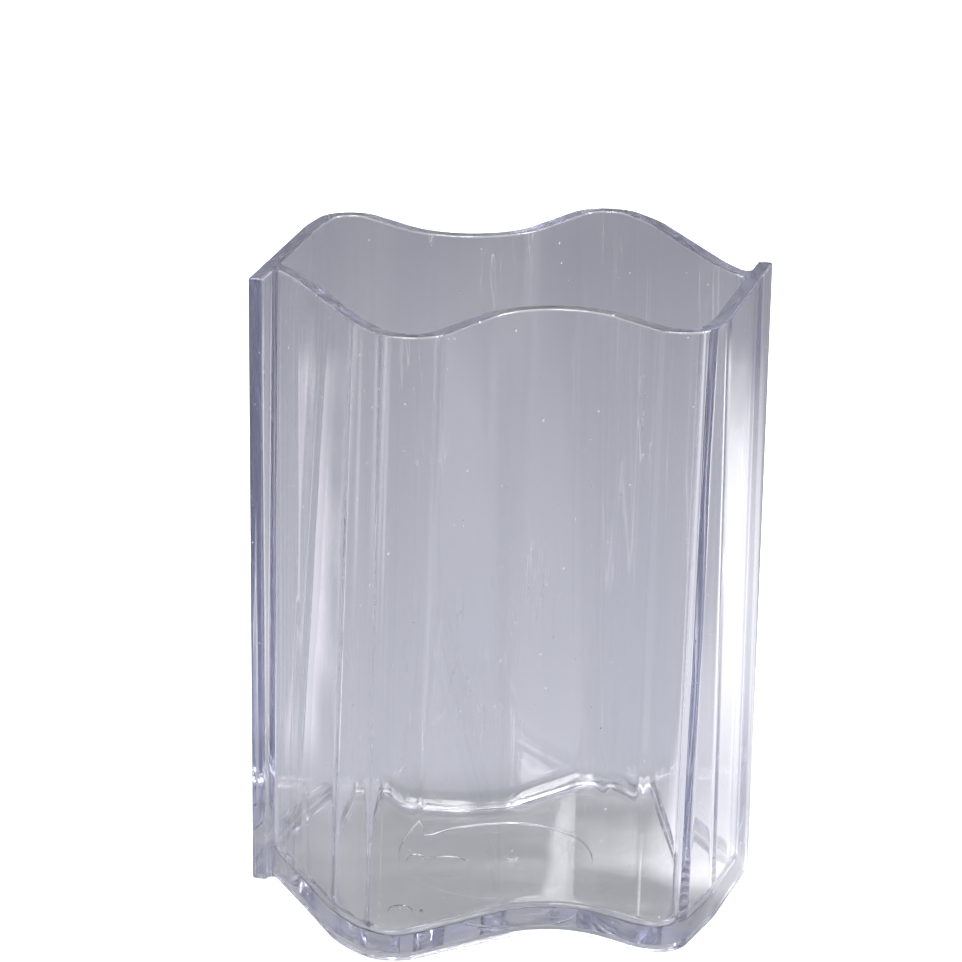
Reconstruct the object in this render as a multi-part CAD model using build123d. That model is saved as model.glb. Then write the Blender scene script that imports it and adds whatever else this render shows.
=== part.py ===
from build123d import *
import os

# A wave-walled pen cup, moulded in one piece of clear, stiff plastic.
# Millimetres, +Z up.  The origin is the middle of the base, on the table.
#
# Two equal wave-shaped walls stand round a floor, each the other turned by half
# a turn about Z.  One end of a wall runs into the inner face of the other wall.
# Its free end stands past that junction, full height, as a square-cut fin.
# The wave is deeper at the rim than at the base, and the walls lean outwards
# a little on the way up, so the cup leaves its mould.

# Driving dimensions
HEIGHT = 102.0          # table to rim
WALL = 2.4              # wall thickness
FLOOR_TOP = 3.2         # upper face of the floor
FLOOR_UNDER = 0.7       # the floor's underside, above the table
INNER_CORNER = 4.0      # upright radius inside, where the walls meet
NOTCH_RADIUS = 0.8      # upright radius outside, between a wall and a fin
FLOOR_RADIUS = 2.5      # radius between the floor and the walls
EDGE_SIZE = 0.35        # the rim: outer edge rounded, inner edge bevelled
INSERT_RADIUS = 16.5    # round mark left in the floor by the mould's insert
INSERT_DEPTH = 0.2

# Outer face of the front wall, seen from above, as straight runs between
# corners: the fin's free end, right shoulder, right lobe, valley, left lobe,
# left shoulder, a slight bend in the flank, and a last point that the flank
# heads for inside the other wall.
RIM_CORNERS = [(42.5, 2.8), (30.2, -31.3), (23.1, -45.3), (3.8, -16.3),
               (-21.4, -45.7), (-28.6, -30.7), (-35.3, -2.3), (-38.6, 5.5)]
BASE_CORNERS = [(40.9, -0.6), (31.4, -23.9), (21.7, -42.3), (5.0, -25.3),
                (-23.6, -41.4), (-30.2, -29.9), (-33.7, -13.8), (-38.0, 4.6)]
CORNER_RADII = [30.0, 5.8, 12.4, 6.8, 26.0, 40.0]   # of the outer face, at the six inner corners


def corners_at(z):
    """The outer face's corners at height z, in line between base and rim."""
    share = z / HEIGHT
    return [Vector(*low) * (1 - share) + Vector(*high) * share
            for low, high in zip(BASE_CORNERS, RIM_CORNERS)]


def inward(along):
    """The level direction that points into the cup from a run of the wall."""
    return Vector(along.Y, -along.X, 0)


def crossing(start, along, other_start, other_along):
    """Where two level lines meet, each given by a point and a direction."""
    sideways = inward(other_along)
    reach = (other_start - start).dot(sideways) / along.dot(sideways)
    return start + along * reach


def wall_corners(z, depth):
    """One wall's corners at height z, on the line that lies depth inside its
    outer face, with the radius at each and the directions of its end runs."""
    corners = corners_at(z)
    runs = [(b - a).normalized() for a, b in zip(corners, corners[1:])]
    moved = [corners[0] + inward(runs[0]) * depth]
    radii = []
    for corner, before, after, radius in zip(corners[1:], runs, runs[1:], CORNER_RADII):
        bisector = (inward(before) + inward(after)).normalized()
        moved.append(corner + bisector * (depth / bisector.dot(inward(before))))
        centre_inside = inward(before).dot(after) > 0
        radii.append(radius - depth if centre_inside else radius + depth)
    return moved, radii, runs[0], runs[-1]


def turned(points):
    return [Vector(-point.X, -point.Y, 0) for point in points]


def section(half_corners, half_radii, z):
    """The level face whose outline is these corners and their half turn."""
    loop = FilletPolyline(*half_corners, *turned(half_corners), radius=half_radii * 2, close=True)
    return Pos(0, 0, z) * Face(Wire(loop.edges()))


def outer_section(z):
    """Everything within the cup's outer faces at height z, fins included."""
    corners, radii, fin_run, flank_run = wall_corners(z, 0)
    fin_inner = corners[0] + inward(fin_run) * WALL
    other_fin_inner = turned([fin_inner])[0]
    notch = crossing(corners[-1], flank_run, other_fin_inner, fin_run)
    return section([*corners, notch, other_fin_inner], [0, *radii, NOTCH_RADIUS, 0], z)


def cavity_section(z, depth=WALL):
    """The hollow at height z, where depth is measured from the outer face."""
    corners, radii, fin_run, flank_run = wall_corners(z, depth)
    junction = crossing(corners[-1], flank_run, turned(corners)[0], fin_run)
    corner_radius = INNER_CORNER + WALL - depth
    return section([*corners[1:], junction], [*radii, corner_radius], z)


def cavity():
    """The hollow that holds the pens, rounded where the floor meets the walls."""
    hollow = loft([cavity_section(FLOOR_TOP), cavity_section(HEIGHT)], ruled=True)
    floor_edges = hollow.edges().group_by(Axis.Z)[0]
    return fillet(floor_edges, FLOOR_RADIUS)


def base_recess():
    """The shallow hollow under the floor, which leaves the walls to stand on."""
    return loft([cavity_section(0), cavity_section(FLOOR_UNDER)], ruled=True)


def rim_bevel():
    """A 45 degree flare that takes the sharp edge off the hollow's rim."""
    low = cavity_section(HEIGHT - 2 * EDGE_SIZE, WALL + EDGE_SIZE)
    high = cavity_section(HEIGHT + EDGE_SIZE, WALL - 2 * EDGE_SIZE)
    return loft([low, high], ruled=True)


def insert_mark():
    return Pos(0, 0, FLOOR_TOP) * Cylinder(INSERT_RADIUS, 2 * INSERT_DEPTH)


def cup_body():
    outer = loft([outer_section(0), outer_section(HEIGHT)], ruled=True)
    body = outer - cavity() - rim_bevel() - base_recess() - insert_mark()
    rim_face = body.faces().sort_by(Axis.Z)[-1]
    return fillet(rim_face.outer_wire().edges(), EDGE_SIZE)


os.makedirs("parts", exist_ok=True)
export_step(cup_body(), "parts/cup_body.step")
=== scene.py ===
import math

import bmesh
import bpy
from mathutils import Matrix, Vector


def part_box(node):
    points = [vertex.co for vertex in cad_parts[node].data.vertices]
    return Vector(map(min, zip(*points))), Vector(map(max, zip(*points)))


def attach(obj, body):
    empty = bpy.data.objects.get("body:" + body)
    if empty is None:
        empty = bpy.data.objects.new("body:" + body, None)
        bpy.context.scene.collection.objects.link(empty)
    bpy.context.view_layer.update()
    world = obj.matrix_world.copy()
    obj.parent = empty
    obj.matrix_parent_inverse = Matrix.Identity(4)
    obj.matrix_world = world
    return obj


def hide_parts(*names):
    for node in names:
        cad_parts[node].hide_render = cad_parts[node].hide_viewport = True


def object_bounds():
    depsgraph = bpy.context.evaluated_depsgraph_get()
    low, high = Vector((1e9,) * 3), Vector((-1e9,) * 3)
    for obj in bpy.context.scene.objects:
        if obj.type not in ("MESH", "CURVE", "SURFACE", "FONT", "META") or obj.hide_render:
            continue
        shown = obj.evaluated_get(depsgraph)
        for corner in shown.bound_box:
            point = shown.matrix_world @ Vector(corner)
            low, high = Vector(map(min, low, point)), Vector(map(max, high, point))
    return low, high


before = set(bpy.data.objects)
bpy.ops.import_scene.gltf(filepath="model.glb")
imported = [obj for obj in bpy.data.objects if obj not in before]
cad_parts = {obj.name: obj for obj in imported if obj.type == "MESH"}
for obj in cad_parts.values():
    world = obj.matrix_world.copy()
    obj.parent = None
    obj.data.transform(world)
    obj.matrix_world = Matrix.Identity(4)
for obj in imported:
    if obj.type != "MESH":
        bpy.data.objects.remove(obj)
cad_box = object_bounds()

# A clear plastic pen cup.  The CAD solid gives its size, and the mesh below follows
# the same plan with smooth quads, softened edges and the marks left by the mould.

MM = 0.001              # metres in a millimetre

# ---------------------------------------------------------------- the cup's plan, in mm
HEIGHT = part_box("cup_body")[1].z / MM
WALL = 2.4              # wall thickness
FLOOR_TOP = 3.2         # upper face of the floor
FLOOR_UNDER = 0.7       # the floor's underside, above the table
INNER_CORNER = 4.0      # upright radius inside, where the walls meet
NOTCH_RADIUS = 0.8      # upright radius outside, between a wall and a fin
FIN_EDGE = 0.4          # upright edges of a fin's free end
FLOOR_RADIUS = 2.5      # between floor and walls
RIM_EDGE = 0.35         # softened rim edges
BASE_EDGE = 0.25        # softened edges of the standing ring
SUPPORT = 0.06          # a narrow band of quads that keeps a flat face flat beside a rounding

# Outer face of the front wall from above: the fin's free end, right shoulder, right
# lobe, valley, left lobe, left shoulder, a slight bend in the flank, and a point that
# the flank heads for.
RIM_CORNERS = [(42.5, 2.8), (30.2, -31.3), (23.1, -45.3), (3.8, -16.3),
               (-21.4, -45.7), (-28.6, -30.7), (-35.3, -2.3), (-38.6, 5.5)]
BASE_CORNERS = [(40.9, -0.6), (31.4, -23.9), (21.7, -42.3), (5.0, -25.3),
                (-23.6, -41.4), (-30.2, -29.9), (-33.7, -13.8), (-38.0, 4.6)]
# Upright radii of the outer face at the six corners between those two ends
CORNER_RADII = [30.0, 5.8, 12.4, 6.8, 26.0, 40.0]

# How many steps each rounding, straight run and circle is divided into
CORNER_STEPS = [16, 36, 44, 36, 20, 16]
EDGE_STEPS = 4
NOTCH_STEPS = 8
JUNCTION_STEPS = 20
RUN_STEPS = 12
WALL_ROWS = 18
ROUNDING_STEPS = 6
CIRCLE_STEPS = 64

# Marks in the floor, in mm: the mould's insert, its ejector pins and its gate.  An ejector
# mark has a centre and a radius.  One lies inside the insert's mark and one outside it.
MIDDLE = (0, 0)
INSERT_RADIUS = 16.5
INSERT_DEPTH = 0.2
EJECTOR_INSIDE = ((-10.3, -2.0), 3.9)
EJECTOR_OUTSIDE = ((-18.9, -24.0), 2.6)
EJECTOR_DEPTH = 0.12
GATE_RADIUS = 1.6
GATE_HEIGHT = 0.25

# How a mark's step is rounded: shares of STEP_SOFT outwards and of the step's height down
STEP_SOFT = 0.08
STEP_PROFILE = [(2, 0), (1, 0), (0.5, 0.12), (0, 0.5), (-0.5, 0.88), (-1, 1), (-2, 1)]


def corners_at(z):
    """The outer face's corners at height z, in line between base and rim."""
    share = z / HEIGHT
    return [Vector(low).lerp(Vector(high), share) for low, high in zip(BASE_CORNERS, RIM_CORNERS)]


def inward(along):
    """The direction into the cup from an outer face that runs along."""
    return Vector((along.y, -along.x))


def crossing(start, along, other_start, other_along):
    """Where two lines meet, each given by a point and a direction."""
    sideways = inward(other_along)
    return start + along * ((other_start - start).dot(sideways) / along.dot(sideways))


def half_turn(points):
    """The same points after half a turn about the cup's axis."""
    return [-point for point in points]


def wall_corners(z, depth):
    """One wall's corners at height z, depth inside its outer face, with the radius
    at each and the directions of its end runs."""
    corners = corners_at(z)
    runs = [(b - a).normalized() for a, b in zip(corners, corners[1:])]
    moved = [corners[0] + inward(runs[0]) * depth]
    radii = []
    for corner, before, after, radius in zip(corners[1:], runs, runs[1:], CORNER_RADII):
        bisector = (inward(before) + inward(after)).normalized()
        moved.append(corner + bisector * (depth / bisector.dot(inward(before))))
        centre_inside = inward(before).dot(after) > 0
        radii.append(radius - depth if centre_inside else radius + depth)
    return moved, radii, runs[0], runs[-1]


def rounded_corner(corner, before, after, radius, steps):
    """Points of the arc that rounds a corner between two directions."""
    turn = math.atan2(before.cross(after), before.dot(after))
    start = corner - before * (radius * math.tan(abs(turn) / 2))
    side = Vector((-before.y, before.x)) * math.copysign(1, turn)
    centre = start + side * radius
    spoke = start - centre
    return [centre + Matrix.Rotation(turn * i / steps, 2) @ spoke for i in range(steps + 1)]


def outline(half_corners, half_radii, half_steps):
    """The closed outline of these corners and their half turn, evenly divided."""
    corners = [*half_corners, *half_turn(half_corners)]
    radii = half_radii * 2
    steps = half_steps * 2
    count = len(corners)
    arcs = []
    for i, corner in enumerate(corners):
        before = (corner - corners[i - 1]).normalized()
        after = (corners[(i + 1) % count] - corner).normalized()
        arcs.append(rounded_corner(corner, before, after, radii[i], steps[i]))
    points = []
    for arc, following in zip(arcs, arcs[1:] + arcs[:1]):
        points += arc
        points += [arc[-1].lerp(following[0], i / RUN_STEPS) for i in range(1, RUN_STEPS)]
    return points


def outer_ring(z, depth=0.0):
    """The cup's outside at height z, fins included, depth inside the true surface."""
    corners, radii, fin_run, flank_run = wall_corners(z, depth)
    fin_outer = corners[0] + fin_run * depth
    fin_inner = fin_outer + inward(fin_run) * (WALL - 2 * depth)
    other_fin_inner = -fin_inner
    notch = crossing(corners[-1], flank_run, other_fin_inner, fin_run)
    points = outline(
        [fin_outer, *corners[1:], notch, other_fin_inner],
        [FIN_EDGE - depth, *radii, NOTCH_RADIUS + depth, FIN_EDGE - depth],
        [EDGE_STEPS, *CORNER_STEPS, NOTCH_STEPS, EDGE_STEPS],
    )
    return [(p.x, p.y, z) for p in points]


def inner_ring(z, depth=WALL):
    """The hollow at height z, where depth is measured from the outer face."""
    corners, radii, fin_run, flank_run = wall_corners(z, depth)
    junction = crossing(corners[-1], flank_run, -corners[0], fin_run)
    points = outline(
        [*corners[1:], junction],
        [*radii, INNER_CORNER + WALL - depth],
        [*CORNER_STEPS, JUNCTION_STEPS],
    )
    return [(p.x, p.y, z) for p in points]


def circle(centre, radius, z):
    """A level ring of points."""
    angles = [math.tau * i / CIRCLE_STEPS for i in range(CIRCLE_STEPS)]
    return [(centre[0] + radius * math.cos(a), centre[1] + radius * math.sin(a), z) for a in angles]


def quarter(radius):
    """(along the wall, away from it) offsets of a quarter round, from its wall to its flat."""
    angles = [math.pi / 2 * i / ROUNDING_STEPS for i in range(ROUNDING_STEPS + 1)]
    return [(radius * math.sin(a), radius * (1 - math.cos(a))) for a in angles]


def wall_heights(low, high):
    """Heights of the rows between two roundings, with a support row at each end."""
    inner = [low + (high - low) * i / WALL_ROWS for i in range(1, WALL_ROWS)]
    return [low + SUPPORT, *inner, high - SUPPORT]


def outer_rings():
    """The outside, from the standing ring up to the rim's top."""
    base = [(BASE_EDGE - up, depth) for up, depth in quarter(BASE_EDGE)][::-1]
    rim = [(HEIGHT - RIM_EDGE + up, depth) for up, depth in quarter(RIM_EDGE)]
    rings = [outer_ring(0, BASE_EDGE + SUPPORT / 2)]
    rings += [outer_ring(z, depth) for z, depth in base]
    rings += [outer_ring(z) for z in wall_heights(BASE_EDGE, HEIGHT - RIM_EDGE)]
    rings += [outer_ring(z, depth) for z, depth in rim]
    return rings


def hollow_rings():
    """The inside, from the rim's top down to the floor."""
    rim = [(HEIGHT - RIM_EDGE + up, WALL - depth) for up, depth in quarter(RIM_EDGE)][::-1]
    floor = [(FLOOR_TOP + FLOOR_RADIUS - down, WALL + depth) for down, depth in quarter(FLOOR_RADIUS)]
    rings = [inner_ring(z, depth) for z, depth in rim]
    rings += [inner_ring(z) for z in wall_heights(FLOOR_TOP + FLOOR_RADIUS, HEIGHT - RIM_EDGE)[::-1]]
    rings += [inner_ring(z, depth) for z, depth in floor]
    rings += [inner_ring(FLOOR_TOP, WALL + FLOOR_RADIUS + SUPPORT)]
    return rings


def recess_rings():
    """The shallow hollow under the floor, from the standing ring up."""
    edge = [(BASE_EDGE - up, WALL - depth) for up, depth in quarter(BASE_EDGE)][::-1]
    rings = [inner_ring(0, WALL - BASE_EDGE - SUPPORT / 2)]
    rings += [inner_ring(z, depth) for z, depth in edge]
    rings += [inner_ring(FLOOR_UNDER - SUPPORT)]
    rings += [inner_ring(FLOOR_UNDER)]
    rings += [inner_ring(FLOOR_UNDER, WALL + SUPPORT)]
    return rings


def step_rings(centre, radius, top, fall):
    """A low round step in a flat face: rounded at both edges."""
    return [circle(centre, radius + STEP_SOFT * out, top - fall * down) for out, down in STEP_PROFILE]


def add_skin(bm, rings):
    """Joins closed rings of equal count with quads.  Returns the first and last ring's edges."""
    rows = [[bm.verts.new(Vector(p) * MM) for p in ring] for ring in rings]
    count = len(rows[0])
    for low, high in zip(rows, rows[1:]):
        for i in range(count):
            j = (i + 1) % count
            bm.faces.new((low[i], low[j], high[j], high[i]))
    return [
        [bm.edges.get((row[i], row[(i + 1) % count])) for i in range(count)]
        for row in (rows[0], rows[-1])
    ]


def fill(bm, *loops):
    """A flat face between closed loops of edges."""
    edges = [edge for loop in loops for edge in loop]
    bmesh.ops.triangle_fill(bm, use_beauty=True, use_dissolve=False, edges=edges, normal=(0, 0, 1))


def add_floor_face(bm, floor_edge):
    """The floor's upper face inside its edge, with the marks of insert, ejectors and gate."""
    insert_flat = FLOOR_TOP - INSERT_DEPTH
    insert_edge, insert_foot = add_skin(bm, step_rings(MIDDLE, INSERT_RADIUS, FLOOR_TOP, INSERT_DEPTH))
    inside_edge, inside_foot = add_skin(bm, step_rings(*EJECTOR_INSIDE, insert_flat, EJECTOR_DEPTH))
    outside_edge, outside_foot = add_skin(bm, step_rings(*EJECTOR_OUTSIDE, FLOOR_TOP, EJECTOR_DEPTH))
    gate_foot, gate_edge = add_skin(bm, step_rings(MIDDLE, GATE_RADIUS, insert_flat, -GATE_HEIGHT))
    fill(bm, floor_edge, insert_edge, outside_edge)
    fill(bm, insert_foot, inside_edge, gate_foot)
    for flat in (inside_foot, outside_foot, gate_edge):
        fill(bm, flat)


def cup_mesh():
    """The whole cup as one closed, smooth mesh."""
    bm = bmesh.new()
    outside_low, outside_high = add_skin(bm, outer_rings())
    hollow_high, hollow_low = add_skin(bm, hollow_rings())
    recess_low, recess_high = add_skin(bm, recess_rings())
    fill(bm, outside_high, hollow_high)
    fill(bm, outside_low, recess_low)
    fill(bm, recess_high)
    add_floor_face(bm, hollow_low)
    bmesh.ops.recalc_face_normals(bm, faces=bm.faces)
    for face in bm.faces:
        face.smooth = True
    mesh = bpy.data.meshes.new("pen_cup")
    bm.to_mesh(mesh)
    bm.free()
    return mesh


# ---------------------------------------------------------------- material helpers
def node(tree, kind, **values):
    """A new node, with its properties or inputs set; an underscore stands for a space."""
    made = tree.nodes.new(kind)
    for name, value in values.items():
        if hasattr(made, name):
            setattr(made, name, value)
        else:
            made.inputs[name.replace("_", " ")].default_value = value
    return made


def feed(tree, source, target):
    """Links a socket into target, or sets target to a plain value."""
    if isinstance(source, bpy.types.NodeSocket):
        tree.links.new(source, target)
    else:
        target.default_value = source


def arithmetic(tree, operation, first, second=0.0):
    """The result of a sum, product or the like of two sockets or numbers."""
    made = node(tree, "ShaderNodeMath", operation=operation)
    feed(tree, first, made.inputs[0])
    feed(tree, second, made.inputs[1])
    return made.outputs[0]


def remap(tree, source, start, end, first=0.0, last=1.0, easing="LINEAR"):
    """Carries start..end to first..last, and holds the ends."""
    made = node(tree, "ShaderNodeMapRange", interpolation_type=easing,
                From_Min=start, From_Max=end, To_Min=first, To_Max=last)
    feed(tree, source, made.inputs["Value"])
    return made.outputs["Result"]


def mix_colour(tree, share, first, second):
    """The first colour where share is 0, the second where it is 1."""
    made = node(tree, "ShaderNodeMix", data_type="RGBA")
    slots = [socket for socket in made.inputs if socket.type == "RGBA"]
    feed(tree, share, made.inputs["Factor"])
    feed(tree, first, slots[0])
    feed(tree, second, slots[1])
    return next(socket for socket in made.outputs if socket.type == "RGBA")


def noise(tree, place, scale=1.0, detail=2.0):
    """Cloudy noise, mostly between 0.3 and 0.7."""
    made = node(tree, "ShaderNodeTexNoise", Scale=scale, Detail=detail)
    feed(tree, place, made.inputs["Vector"])
    return made.outputs["Fac"]


def turned(tree, place, lean, scale):
    """The place, stretched by scale and then turned by lean."""
    made = node(tree, "ShaderNodeMapping", Rotation=lean, Scale=scale)
    feed(tree, place, made.inputs["Vector"])
    return made.outputs["Vector"]


# ---------------------------------------------------------------- clear plastic
PLASTIC_TINT = (0.985, 0.986, 0.99, 1)
PLASTIC_IOR = 1.57
DEEP_TINT = (0.50, 0.53, 0.88, 1)   # what a long way through the plastic keeps
DEEP_DENSITY = 6.5                  # per metre

# Gloss: the surface's roughness between wavy limits, and the slight waviness itself
GLOSS_SCALE = 180.0
GLOSS_DETAIL = 6.0
GLOSS_NOISE = (0.35, 0.75)
GLOSS_ROUGHNESS = (0.008, 0.035)
WAVE_SCALE = 38.0
WAVE_DETAIL = 1.0
WAVE_STRENGTH = 0.10
WAVE_HEIGHT = 0.0005                # metres

# Scratches lean two ways, and run where a noise is at its middle.  Their width and the
# limits of their patches are in the noise's own units.
NOISE_MIDDLE = 0.5
HAIRLINE_LEANS = [(0.12, 0.10, 0.0), (-0.35, -0.30, 0.4)]
HAIRLINE_SCALE = (420, 420, 22)
HAIRLINE_WIDTH = (0.002, 0.007)
HAIRLINE_SHARE = 0.5                # of the strength of a dust speck
PATCH_SCALE = (60, 60, 30)
PATCH_NOISE = (0.60, 0.70)
DUST_SCALE = 230.0
DUST_SIZE = (0.03, 0.055)
MARK_VEIL = 0.6                     # how much clearness a scratch or speck takes away
MARK_ROUGHNESS = 0.4

# Milky bands on the walls, and streaks just above the floor's upper face: both a veil that paints in
# reflections
REFLECTION_BAND_LEAN = (0.0, 0.55, 0.0)
REFLECTION_BAND_SCALE = (48, 48, 9)
REFLECTION_BAND_DETAIL = 3.0
REFLECTION_BAND_NOISE = (0.45, 0.75)
REFLECTION_BAND_VEIL = 0.05
# Streaks on the floor's upper face: a veil that paints in reflections
FLOOR_STREAK_LEAN = (0, 0, 0.12)
FLOOR_STREAK_SCALE = (24, 105, 1)
FLOOR_STREAK_DETAIL = 4.0
FLOOR_STREAK_NOISE = (0.44, 0.72)
FLOOR_STREAK_HEIGHTS = ((FLOOR_TOP + 0.1) * MM, (FLOOR_TOP + 1.0) * MM)
FLOOR_STREAK_VEIL = 0.16


def hairlines(tree, place, lean):
    """Fine scratches, long in one direction and worn into patches: 1 on a scratch."""
    drawn = noise(tree, turned(tree, place, lean, HAIRLINE_SCALE))
    off_line = arithmetic(tree, "ABSOLUTE", arithmetic(tree, "SUBTRACT", drawn, NOISE_MIDDLE))
    line = remap(tree, off_line, *HAIRLINE_WIDTH, 1.0, 0.0)
    patch = remap(tree, noise(tree, turned(tree, place, lean, PATCH_SCALE)), *PATCH_NOISE)
    return arithmetic(tree, "MULTIPLY", line, patch)


def dust(tree, place):
    """Small specks, 1 in a speck."""
    cells = node(tree, "ShaderNodeTexVoronoi", Scale=DUST_SCALE)
    feed(tree, place, cells.inputs["Vector"])
    return remap(tree, cells.outputs["Distance"], *DUST_SIZE, 1.0, 0.0)


def painted_reflection_bands(tree, place):
    """Broad, soft bands that lean across the walls, 0 to 1: a milky veil that paints in reflections."""
    cloud = noise(tree, turned(tree, place, REFLECTION_BAND_LEAN, REFLECTION_BAND_SCALE), detail=REFLECTION_BAND_DETAIL)
    return remap(tree, cloud, *REFLECTION_BAND_NOISE)


def painted_floor_streaks(tree, place):
    """Soft streaks of milky veil across the inside of the floor, just above its upper face, 0 to 1: painted
    reflections.
    """
    split = node(tree, "ShaderNodeSeparateXYZ")
    feed(tree, place, split.inputs[0])
    low = remap(tree, split.outputs["Z"], *FLOOR_STREAK_HEIGHTS, 1.0, 0.0)
    cloud = noise(tree, turned(tree, place, FLOOR_STREAK_LEAN, FLOOR_STREAK_SCALE), detail=FLOOR_STREAK_DETAIL)
    return arithmetic(tree, "MULTIPLY", low, remap(tree, cloud, *FLOOR_STREAK_NOISE))


def surface_marks(tree, place):
    """Scratches and dust together, 0 to 1."""
    scratched = arithmetic(tree, "MAXIMUM", *[hairlines(tree, place, lean) for lean in HAIRLINE_LEANS])
    faint = arithmetic(tree, "MULTIPLY", scratched, HAIRLINE_SHARE)
    return arithmetic(tree, "MAXIMUM", faint, dust(tree, place))


def clear_plastic():
    """Clear, stiff plastic: smooth from the mould and slightly wavy, with a blue-violet
    tint that shows where light travels far inside, scratches and dust, and a milky veil in soft bands on
    the walls and streaks on the floor that paints in reflections."""
    material = bpy.data.materials.new("clear_plastic")
    material.use_nodes = True
    tree = material.node_tree
    shader = tree.nodes["Principled BSDF"]
    shader.inputs["Base Color"].default_value = PLASTIC_TINT
    shader.inputs["IOR"].default_value = PLASTIC_IOR
    depth = node(tree, "ShaderNodeVolumeAbsorption", Color=DEEP_TINT, Density=DEEP_DENSITY)
    feed(tree, depth.outputs["Volume"], tree.nodes["Material Output"].inputs["Volume"])

    place = node(tree, "ShaderNodeTexCoord").outputs["Object"]
    marks = surface_marks(tree, place)
    # Scratches and dust take clearness away, and so do the painted reflections: bands on the walls and
    # streaks on the floor
    veils = [(marks, MARK_VEIL), (painted_reflection_bands(tree, place), REFLECTION_BAND_VEIL), (painted_floor_streaks(tree, place), FLOOR_STREAK_VEIL)]
    clear = 1.0
    for veil, strength in veils:
        clear = arithmetic(tree, "SUBTRACT", clear, arithmetic(tree, "MULTIPLY", veil, strength))
    feed(tree, clear, shader.inputs["Transmission Weight"])
    gloss = remap(tree, noise(tree, place, GLOSS_SCALE, GLOSS_DETAIL), *GLOSS_NOISE, *GLOSS_ROUGHNESS)
    rough = arithmetic(tree, "ADD", gloss, arithmetic(tree, "MULTIPLY", marks, MARK_ROUGHNESS))
    feed(tree, rough, shader.inputs["Roughness"])

    wavy = node(tree, "ShaderNodeBump", Strength=WAVE_STRENGTH, Distance=WAVE_HEIGHT)
    feed(tree, noise(tree, place, WAVE_SCALE, WAVE_DETAIL), wavy.inputs["Height"])
    feed(tree, wavy.outputs["Normal"], shader.inputs["Normal"])
    return material


# ---------------------------------------------------------------- stage and light
# The floor and the air look plain white to the camera.  What the cup reflects and
# refracts is instead a glowing grey floor with painted light: a painted pool of light that
# fades outwards, a painted shadow that keeps it dim under the cup, painted light bars
# beside the cup, and dimmer air.
FLOOR_HALF = 3.0                    # metres
FLOOR_DROP = 0.0003                 # metres, to keep the floor clear of the cup's base
FLOOR_WHITE = (0.9, 0.9, 0.9, 1)
FLOOR_ROUGHNESS = 0.9
FLOOR_LIFT = 0.55                   # a glow that the camera sees in the floor
AIR_WHITE = (0.95, 0.95, 0.95, 1)
# The reflected air's grey: sines of the elevation from and to, and greys from and to.
# The second pair is added to the first.
LOW_AIR = ((0.0, 0.25), (0.25, 0.35))
HIGH_AIR = ((0.25, 0.7), (0.0, 0.65))
# Painted light in the floor's glow: a painted shadow under the cup, and a painted pool of light beside it
# that fades further out
PAINTED_SHADOW_UNDER_CUP = (0.335, 0.343, 0.368, 1)
PAINTED_POOL_NEAR = (0.545, 0.555, 0.63, 1)
PAINTED_POOL_FAR = (0.30, 0.305, 0.355, 1)
SHADOW_UNDER_CUP_REACH = (0.030, 0.060)        # metres from the cup's middle
PAINTED_POOL_REACH = (0.06, 0.42)

# Painted light bars that glow in the floor and give the cup's flanks painted highlights.
# The first two lie where the right and the left flank mirror the floor towards the front, and
# the third is a broad, weak one at the right.  Each has a start, heading, where it brightens
# and from what share, half widths where it is full and where it ends, and its colour.
PAINTED_LIGHT_BARS = [
    ((0.036, -0.014), math.radians(54.5), (0.0, 0.30), 0.54, (0.008, 0.036), (1.90, 1.87, 1.93, 1)),
    ((-0.0346, -0.0031), math.radians(123.0), (0.05, 0.09), 0.0, (0.0012, 0.0050), (1.65, 1.54, 1.68, 1)),
    ((0.050, -0.010), math.radians(6.0), (0.0, 0.10), 0.8, (0.015, 0.090), (0.80, 0.81, 0.90, 1)),
]
BAR_START = (-0.004, 0.004)         # metres along a bar, where it comes on
BAR_END = (0.32, 0.35)              # and where it goes off

# Softboxes: place, size and watts, all aimed at the cup
SOFTBOX_AIM = (0, 0, 0.05)
SOFTBOXES = {
    "key": ((-0.5, -0.7, 2.0), (1.4, 1.4), 62),
    "fill": ((1.2, -0.2, 0.9), (0.6, 0.9), 22),
}


def painted_bar_light(tree, place, start, heading, rise, share, across):
    """How brightly one painted light bar glows in the floor, 0 to 1."""
    from_start = node(tree, "ShaderNodeVectorMath", operation="SUBTRACT")
    feed(tree, place, from_start.inputs[0])
    from_start.inputs[1].default_value = (*start, 0)
    split = node(tree, "ShaderNodeSeparateXYZ")
    feed(tree, turned(tree, from_start.outputs[0], (0, 0, -heading), (1, 1, 1)), split.inputs[0])
    along = split.outputs["X"]
    beside = arithmetic(tree, "ABSOLUTE", split.outputs["Y"])
    light = remap(tree, beside, *across, 1.0, 0.0, "SMOOTHSTEP")
    for factor in (
        remap(tree, along, *rise, share, 1.0, "SMOOTHSTEP"),
        remap(tree, along, *BAR_START),
        remap(tree, along, *BAR_END, 1.0, 0.0),
    ):
        light = arithmetic(tree, "MULTIPLY", light, factor)
    return light


def painted_light_colour(tree):
    """The floor's painted light, from the distance to the cup and the bars: a painted shadow under the cup,
    a painted pool of light around it and the painted light bars.
    """
    place = node(tree, "ShaderNodeTexCoord").outputs["Object"]
    distance = node(tree, "ShaderNodeVectorMath", operation="LENGTH")
    feed(tree, place, distance.inputs[0])
    away = distance.outputs["Value"]
    colour = mix_colour(tree, remap(tree, away, *PAINTED_POOL_REACH), PAINTED_POOL_NEAR, PAINTED_POOL_FAR)
    colour = mix_colour(tree, remap(tree, away, *SHADOW_UNDER_CUP_REACH, easing="SMOOTHSTEP"), PAINTED_SHADOW_UNDER_CUP, colour)
    # The painted light bars, mixed into the glow
    for *bar, shade in PAINTED_LIGHT_BARS:
        colour = mix_colour(tree, painted_bar_light(tree, place, *bar), colour, shade)
    return colour


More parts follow.
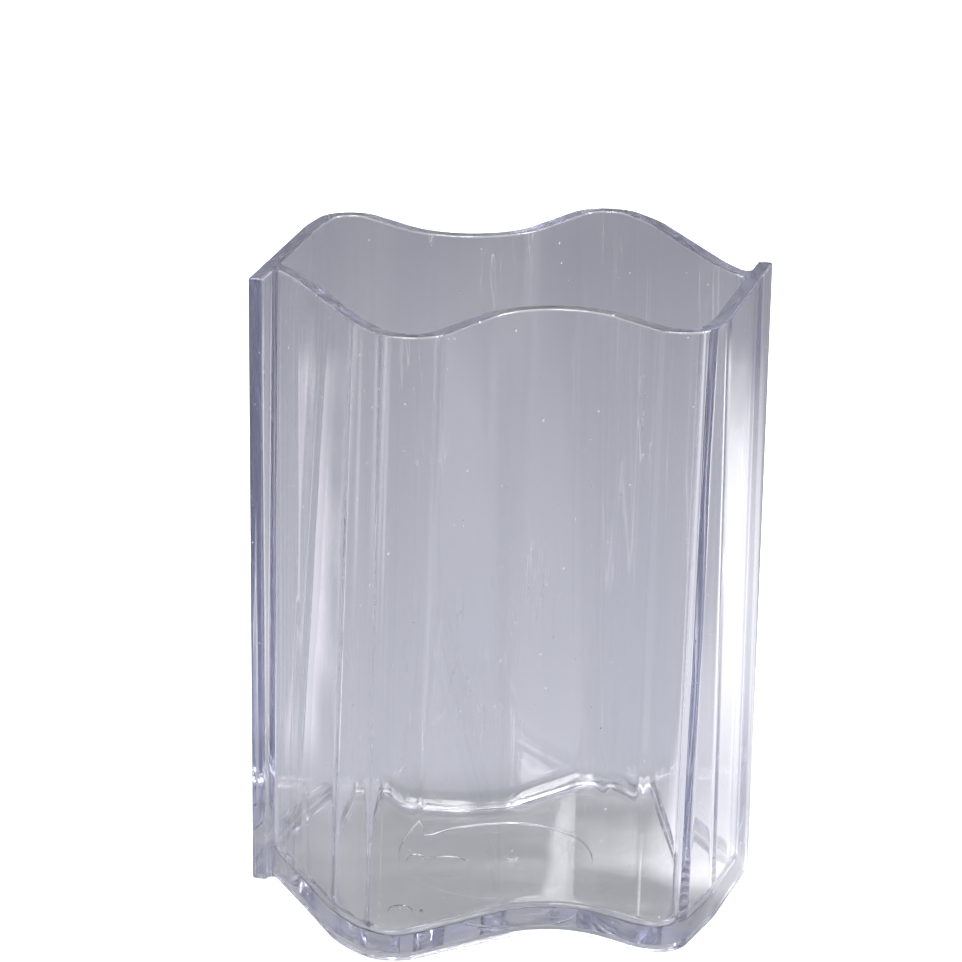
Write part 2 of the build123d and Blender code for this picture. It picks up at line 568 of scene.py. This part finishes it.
def floor_material():
    """Plain pale floor to the camera, and to all other rays a glowing grey floor with painted light: a pool
    of light, a shadow under the cup and light bars.
    """
    material = bpy.data.materials.new("pale_floor_and_painted_light")
    material.use_nodes = True
    tree = material.node_tree
    shader = tree.nodes["Principled BSDF"]
    shader.inputs["Base Color"].default_value = FLOOR_WHITE
    shader.inputs["Roughness"].default_value = FLOOR_ROUGHNESS
    # The glow is painted light: the pool of light, the shadow under the cup and the light bars, seen by
    # every ray but the camera's
    painted_glow = node(tree, "ShaderNodeEmission")
    feed(tree, painted_light_colour(tree), painted_glow.inputs["Color"])
    lift = node(tree, "ShaderNodeEmission", Color=(1, 1, 1, 1), Strength=FLOOR_LIFT)
    seen = node(tree, "ShaderNodeAddShader")
    feed(tree, shader.outputs["BSDF"], seen.inputs[0])
    feed(tree, lift.outputs["Emission"], seen.inputs[1])
    pick = node(tree, "ShaderNodeMixShader")
    feed(tree, node(tree, "ShaderNodeLightPath").outputs["Is Camera Ray"], pick.inputs["Fac"])
    feed(tree, painted_glow.outputs["Emission"], pick.inputs[1])
    feed(tree, seen.outputs["Shader"], pick.inputs[2])
    feed(tree, pick.outputs["Shader"], tree.nodes["Material Output"].inputs["Surface"])
    return material


def add_floor():
    """The stage's floor: one large square just under the cup."""
    half = FLOOR_HALF
    corners = [(-half, -half, 0), (half, -half, 0), (half, half, 0), (-half, half, 0)]
    mesh = bpy.data.meshes.new("floor")
    mesh.from_pydata(corners, [], [(0, 1, 2, 3)])
    floor = bpy.data.objects.new("floor", mesh)
    bpy.context.scene.collection.objects.link(floor)
    floor.location.z = cad_box[0][2] - FLOOR_DROP
    mesh.materials.append(floor_material())


def add_world():
    """The air: white to the camera, and for what the cup reflects dim low down and brighter
    overhead."""
    world = bpy.data.worlds.new("studio")
    bpy.context.scene.world = world
    world.use_nodes = True
    tree = world.node_tree
    split = node(tree, "ShaderNodeSeparateXYZ")
    feed(tree, node(tree, "ShaderNodeTexCoord").outputs["Generated"], split.inputs[0])
    low_heights, low_greys = LOW_AIR
    high_heights, high_greys = HIGH_AIR
    low = remap(tree, split.outputs["Z"], *low_heights, *low_greys)
    high = remap(tree, split.outputs["Z"], *high_heights, *high_greys)
    shade = arithmetic(tree, "ADD", low, high)
    seen = node(tree, "ShaderNodeLightPath").outputs["Is Camera Ray"]
    feed(tree, mix_colour(tree, seen, shade, AIR_WHITE), tree.nodes["Background"].inputs["Color"])


def add_softbox(name, place, size, power):
    """A soft rectangular lamp, turned towards the cup."""
    light = bpy.data.lights.new(name, "AREA")
    light.shape = "RECTANGLE"
    light.size, light.size_y = size
    light.energy = power
    lamp = bpy.data.objects.new(name, light)
    bpy.context.scene.collection.objects.link(lamp)
    lamp.location = place
    lamp.rotation_euler = (Vector(SOFTBOX_AIM) - Vector(place)).to_track_quat("-Z", "Y").to_euler()


# ---------------------------------------------------------------- camera
CAMERA_DISTANCE = 1.0   # metres
CAMERA_RISE = math.radians(17.3)
CAMERA_TURN = math.radians(-7.33)
CAMERA_ROLL = math.radians(1.06)
CAMERA_LENS = 231.6     # mm
CAMERA_SENSOR = 36.0    # mm
AIM_LEFT = 0.00416      # metres that the camera looks to the left of the cup's middle
AIM_UP = 0.0153         # and above it


def add_camera():
    """The camera at the rendered view's angle, sharp at every distance."""
    middle = (Vector(cad_box[0]) + Vector(cad_box[1])) / 2
    right = Vector((math.cos(CAMERA_TURN), math.sin(CAMERA_TURN), 0))
    level_back = Vector((math.sin(CAMERA_TURN), -math.cos(CAMERA_TURN), 0))
    back = level_back * math.cos(CAMERA_RISE) + Vector((0, 0, math.sin(CAMERA_RISE)))
    up = back.cross(right)
    tilted_right = right * math.cos(CAMERA_ROLL) + up * math.sin(CAMERA_ROLL)
    tilted_up = up * math.cos(CAMERA_ROLL) - right * math.sin(CAMERA_ROLL)
    place = middle + back * CAMERA_DISTANCE
    aim = middle - tilted_right * AIM_LEFT + tilted_up * AIM_UP
    view_back = (place - aim).normalized()
    view_right = (tilted_right - view_back * tilted_right.dot(view_back)).normalized()
    view_up = view_back.cross(view_right)
    data = bpy.data.cameras.new("camera")
    data.lens = CAMERA_LENS
    data.sensor_width = CAMERA_SENSOR
    data.dof.use_dof = False
    camera = bpy.data.objects.new("camera", data)
    bpy.context.scene.collection.objects.link(camera)
    turn = Matrix((view_right, view_up, view_back)).transposed().to_4x4()
    camera.matrix_world = Matrix.Translation(place) @ turn
    bpy.context.scene.camera = camera


# ---------------------------------------------------------------- make it
# How often light is passed on inside the clear walls before it is dropped
MOST_BOUNCES = 48
MOST_GLOSSY_BOUNCES = 32
MOST_CLEAR_BOUNCES = 32


def make_cup():
    """The cup's one visible piece, in place of its CAD node."""
    cup = bpy.data.objects.new("pen_cup", cup_mesh())
    bpy.context.scene.collection.objects.link(cup)
    cup.data.materials.append(clear_plastic())
    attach(cup, "root")
    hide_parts("cup_body")


make_cup()
add_floor()
add_world()
for softbox, settings in SOFTBOXES.items():
    add_softbox(softbox, *settings)
add_camera()
bpy.context.scene.view_settings.view_transform = "Standard"
bpy.context.scene.cycles.max_bounces = MOST_BOUNCES
bpy.context.scene.cycles.glossy_bounces = MOST_GLOSSY_BOUNCES
bpy.context.scene.cycles.transmission_bounces = MOST_CLEAR_BOUNCES
